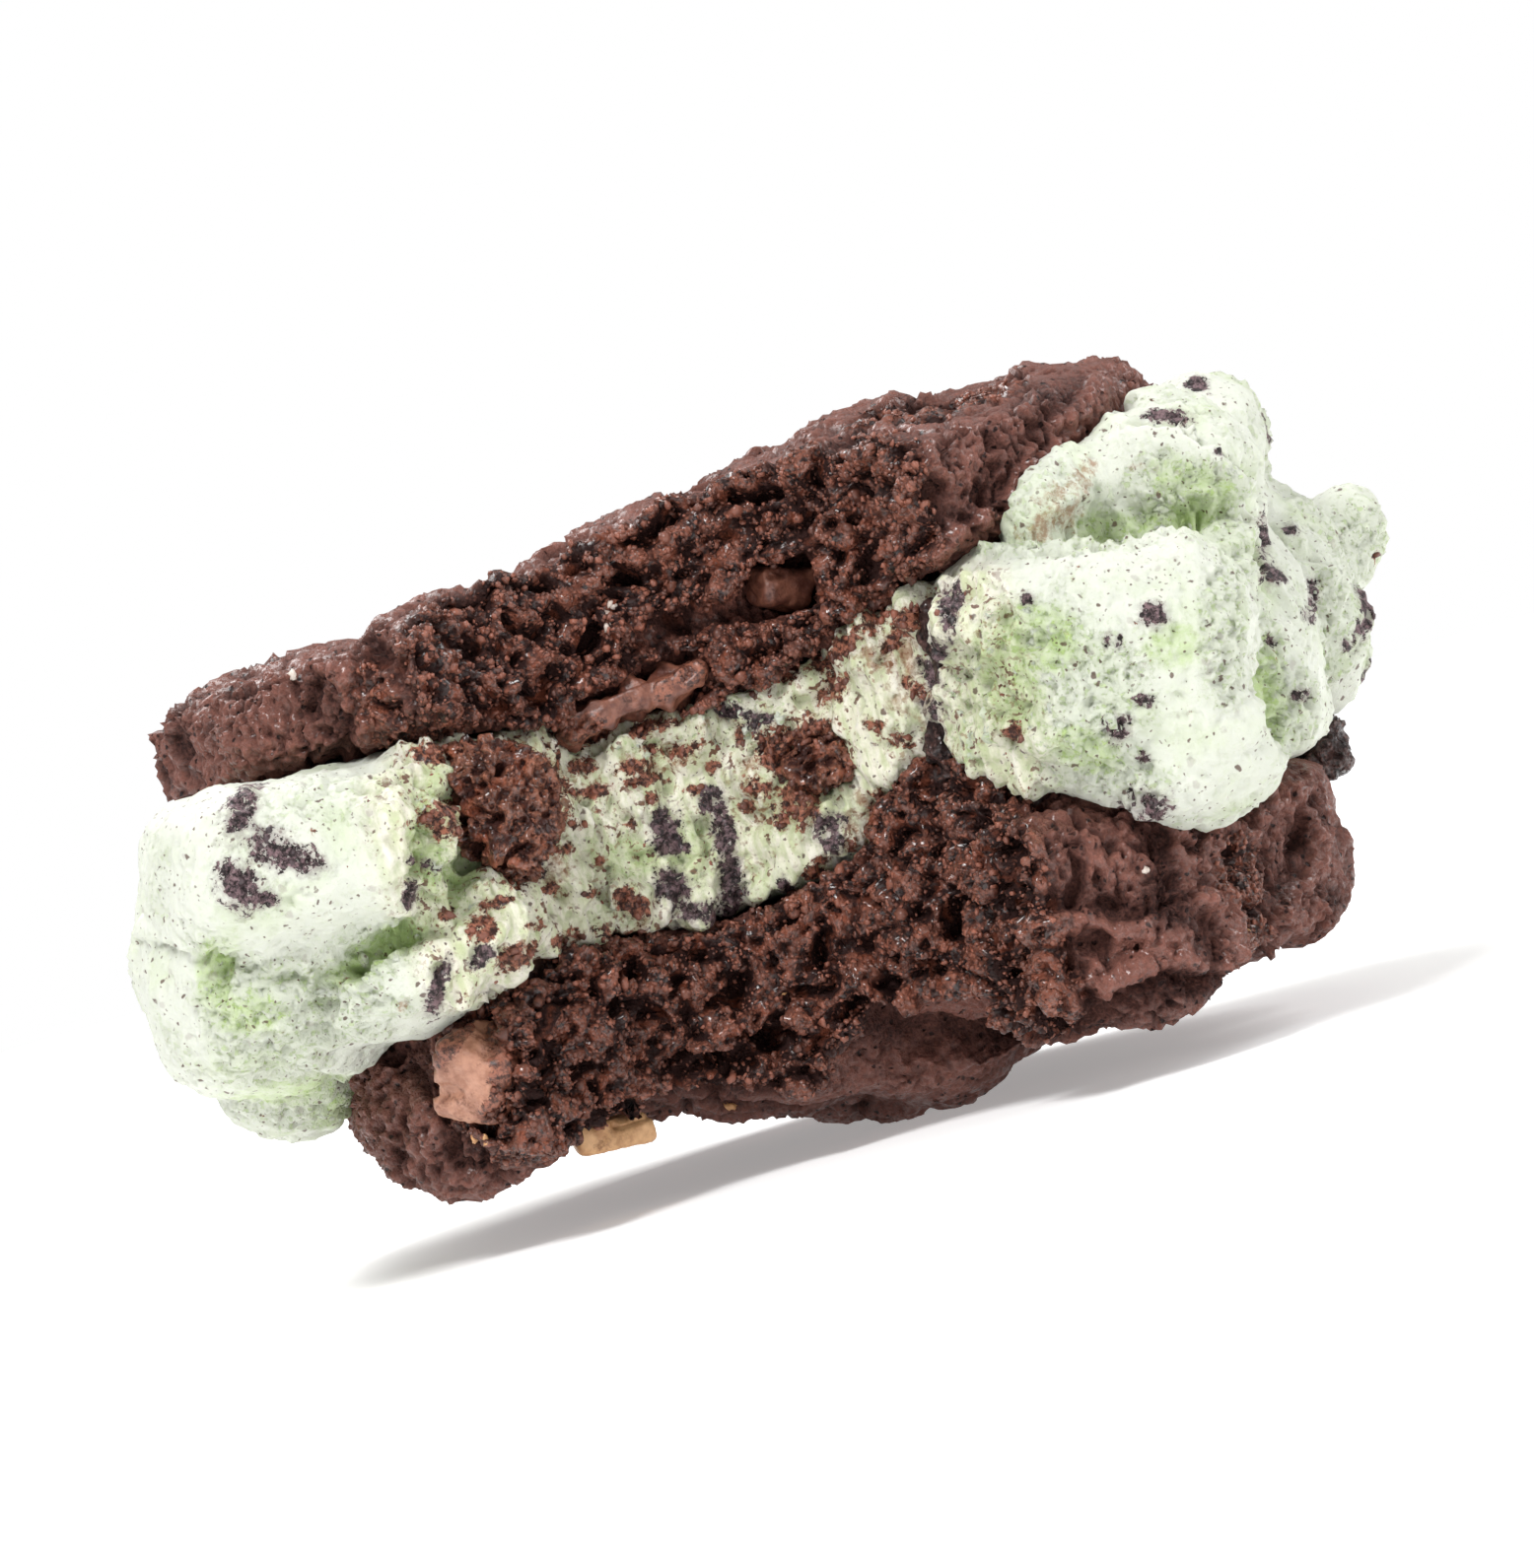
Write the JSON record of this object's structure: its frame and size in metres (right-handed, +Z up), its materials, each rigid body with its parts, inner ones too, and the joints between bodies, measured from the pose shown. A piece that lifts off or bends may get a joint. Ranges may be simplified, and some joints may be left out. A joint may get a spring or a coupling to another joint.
{
  "type": "ice cream sandwich",
  "caption": "Ice cream sandwich: two thick chocolate cookies round a squeezed-out slab of speckled mint ice cream, with one bite taken from the front.",
  "frame": {"origin": "middle of the box round the whole sandwich, at the height of the flat spot that it rests on", "axes": "+Z up through both cookies; -Y towards the bitten front; +X towards the side where the filling bulges most"},
  "size_m": [0.1108, 0.0968, 0.059],
  "materials": {
    "cookie_crumb": "matte baked crumb",
    "mint_ice_cream": "soft frozen cream",
    "milk_chocolate": "satin",
    "peanut_butter": "satin",
    "dark_cookie": "matte"
  },
  "bodies": {
    "root": {"top_cookie": "cookie_crumb", "bottom_cookie": "cookie_crumb", "ice_cream": "mint_ice_cream", "milk_chocolate_chunk": "milk_chocolate", "melted_chocolate": "milk_chocolate", "chocolate_chip": "milk_chocolate", "peanut_butter_chip": "peanut_butter", "fallen_crumb": "cookie_crumb", "small_crumb": "cookie_crumb", "dark_cookie_side": "dark_cookie", "dark_cookie_upper": "dark_cookie", "dark_cookie_lower": "dark_cookie"}
  },
  "joints": []
}
